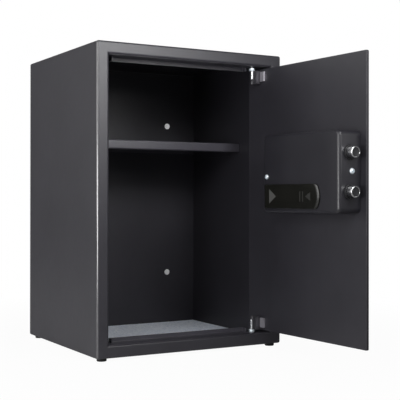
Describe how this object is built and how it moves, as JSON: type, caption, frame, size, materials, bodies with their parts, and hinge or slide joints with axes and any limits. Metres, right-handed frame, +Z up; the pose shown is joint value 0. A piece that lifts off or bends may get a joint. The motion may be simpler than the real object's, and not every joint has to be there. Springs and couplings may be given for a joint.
{
  "type": "electronic safe",
  "caption": "Electronic safe with a folded steel cabinet, a shelf and a felt floor mat, and a side-hinged door with round bolts, a turning knob and a keypad.",
  "frame": {"origin": "middle of the cabinet's flat steel underside; the rubber feet reach 5 mm below it", "axes": "+X to the right as seen from the front, +Y to the back wall, +Z up"},
  "size_m": [0.3588, 0.5695, 0.505],
  "materials": {
    "body_paint": "fine textured powder coat",
    "felt": "needle felt",
    "zinc_steel": "bright zinc plate",
    "chrome": "polished",
    "case_plastic": "fine grained",
    "cover_plastic": "polished",
    "key_plastic": "satin",
    "button_plastic": "satin",
    "plug_plastic": "satin",
    "rubber": "matt",
    "brass": "turned",
    "board": "lacquered laminate",
    "cell_skin": "plastic sleeved",
    "window": "tinted"
  },
  "bodies": {
    "cabinet": {"cabinet_shell": "body_paint", "back_panel": "body_paint", "frame_channel_top": "body_paint", "frame_channel_bottom": "body_paint", "strike_return": "body_paint", "shelf": "body_paint", "shelf_rail_left": "body_paint", "shelf_rail_right": "body_paint", "floor_mat": "felt", "hinge_washer_bottom": "zinc_steel", "foot_front_left": "rubber", "foot_rear_left": "rubber", "anchor_plug_lower_left": "plug_plastic", "anchor_plug_upper_left": "plug_plastic", "foot_front_right": "rubber", "foot_rear_right": "rubber", "anchor_plug_lower_right": "plug_plastic", "anchor_plug_upper_right": "plug_plastic"},
    "door": {"door_panel": "body_paint", "hinge_washer_top": "zinc_steel", "hinge_bracket_top": "zinc_steel", "hinge_bracket_bottom": "zinc_steel", "hinge_pin_top": "zinc_steel", "hinge_pin_bottom": "zinc_steel", "lock_base_plate": "zinc_steel", "lock_case": "case_plastic", "bolt_guide": "zinc_steel", "case_screw_side": "zinc_steel", "case_screw_front": "zinc_steel", "battery_tray": "case_plastic", "battery_cell_lower_1": "cell_skin", "battery_cell_lower_2": "cell_skin", "battery_cell_upper_1": "cell_skin", "battery_cell_upper_2": "cell_skin", "circuit_board": "board", "solenoid": "zinc_steel", "keypad_fascia": "case_plastic", "light_window": "window"},
    "bolts": {"bolt_carriage": "zinc_steel", "bolt_upper": "chrome", "bolt_lower": "chrome"},
    "knob_and_crank": {"knob": "case_plastic", "spindle_crank": "zinc_steel"},
    "battery_cover_slider": {"battery_cover": "cover_plastic"},
    "plunger": {"solenoid_plunger": "zinc_steel"},
    "reset_push": {"reset_button": "button_plastic"},
    "key_lock_barrel": {"key_lock": "brass"},
    "key_lock_flap": {"key_lock_cover": "case_plastic"},
    "key_1_cap": {"key_1": "key_plastic"},
    "key_2_cap": {"key_2": "key_plastic"},
    "key_3_cap": {"key_3": "key_plastic"},
    "key_4_cap": {"key_4": "key_plastic"},
    "key_5_cap": {"key_5": "key_plastic"},
    "key_6_cap": {"key_6": "key_plastic"},
    "key_7_cap": {"key_7": "key_plastic"},
    "key_8_cap": {"key_8": "key_plastic"},
    "key_9_cap": {"key_9": "key_plastic"},
    "key_star_cap": {"key_star": "key_plastic"},
    "key_0_cap": {"key_0": "key_plastic"},
    "key_hash_cap": {"key_hash": "key_plastic"}
  },
  "joints": [
    {"name": "door_hinge", "type": "hinge", "parent": "cabinet", "child": "door", "pos_m": [0.1247, -0.1376, 0.25], "axis": [0, 0, 1], "range_deg": [-93.1, 0]},
    {"name": "knob_turn", "type": "hinge", "parent": "door", "child": "knob_and_crank", "pos_m": [0.16093, -0.35546, 0.3035], "axis": [0.9985, 0.0541, 0], "range_deg": [0, 90]},
    {"name": "bolts_slide", "type": "slide", "parent": "door", "child": "bolts", "axis": [0.0541, -0.9985, 0], "range_m": [0, 0.012]},
    {"name": "battery_cover_slide", "type": "slide", "parent": "door", "child": "battery_cover_slider", "axis": [0.0541, -0.9985, 0], "range_m": [0, 0.0095]},
    {"name": "plunger_lift", "type": "slide", "parent": "door", "child": "plunger", "axis": [0, 0, 1], "range_m": [0, 0.004], "stiffness_N_per_m": 120},
    {"name": "reset_press", "type": "slide", "parent": "door", "child": "reset_push", "axis": [0.0541, -0.9985, 0], "range_m": [0, 0.0015], "stiffness_N_per_m": 250},
    {"name": "key_lock_turn", "type": "hinge", "parent": "door", "child": "key_lock_barrel", "pos_m": [0.14895, -0.35611, 0.2565], "axis": [0.9985, 0.0541, 0], "range_deg": [0, 90]},
    {"name": "key_lock_cover_swing", "type": "hinge", "parent": "door", "child": "key_lock_flap", "pos_m": [0.16193, -0.35541, 0.2715], "axis": [-0.9985, -0.0541, 0], "range_deg": [0, 90]},
    {"name": "key_1_press", "type": "slide", "parent": "door", "child": "key_1_cap", "axis": [-0.9985, -0.0541, 0], "range_m": [0, 0.0012], "stiffness_N_per_m": 300},
    {"name": "key_2_press", "type": "slide", "parent": "door", "child": "key_2_cap", "axis": [-0.9985, -0.0541, 0], "range_m": [0, 0.0012], "stiffness_N_per_m": 300},
    {"name": "key_3_press", "type": "slide", "parent": "door", "child": "key_3_cap", "axis": [-0.9985, -0.0541, 0], "range_m": [0, 0.0012], "stiffness_N_per_m": 300},
    {"name": "key_4_press", "type": "slide", "parent": "door", "child": "key_4_cap", "axis": [-0.9985, -0.0541, 0], "range_m": [0, 0.0012], "stiffness_N_per_m": 300},
    {"name": "key_5_press", "type": "slide", "parent": "door", "child": "key_5_cap", "axis": [-0.9985, -0.0541, 0], "range_m": [0, 0.0012], "stiffness_N_per_m": 300},
    {"name": "key_6_press", "type": "slide", "parent": "door", "child": "key_6_cap", "axis": [-0.9985, -0.0541, 0], "range_m": [0, 0.0012], "stiffness_N_per_m": 300},
    {"name": "key_7_press", "type": "slide", "parent": "door", "child": "key_7_cap", "axis": [-0.9985, -0.0541, 0], "range_m": [0, 0.0012], "stiffness_N_per_m": 300},
    {"name": "key_8_press", "type": "slide", "parent": "door", "child": "key_8_cap", "axis": [-0.9985, -0.0541, 0], "range_m": [0, 0.0012], "stiffness_N_per_m": 300},
    {"name": "key_9_press", "type": "slide", "parent": "door", "child": "key_9_cap", "axis": [-0.9985, -0.0541, 0], "range_m": [0, 0.0012], "stiffness_N_per_m": 300},
    {"name": "key_star_press", "type": "slide", "parent": "door", "child": "key_star_cap", "axis": [-0.9985, -0.0541, 0], "range_m": [0, 0.0012], "stiffness_N_per_m": 300},
    {"name": "key_0_press", "type": "slide", "parent": "door", "child": "key_0_cap", "axis": [-0.9985, -0.0541, 0], "range_m": [0, 0.0012], "stiffness_N_per_m": 300},
    {"name": "key_hash_press", "type": "slide", "parent": "door", "child": "key_hash_cap", "axis": [-0.9985, -0.0541, 0], "range_m": [0, 0.0012], "stiffness_N_per_m": 300}
  ],
  "couplings": [
    {"joint": "knob_turn", "follows": "bolts_slide", "rad_per_m": 130.89}
  ]
}
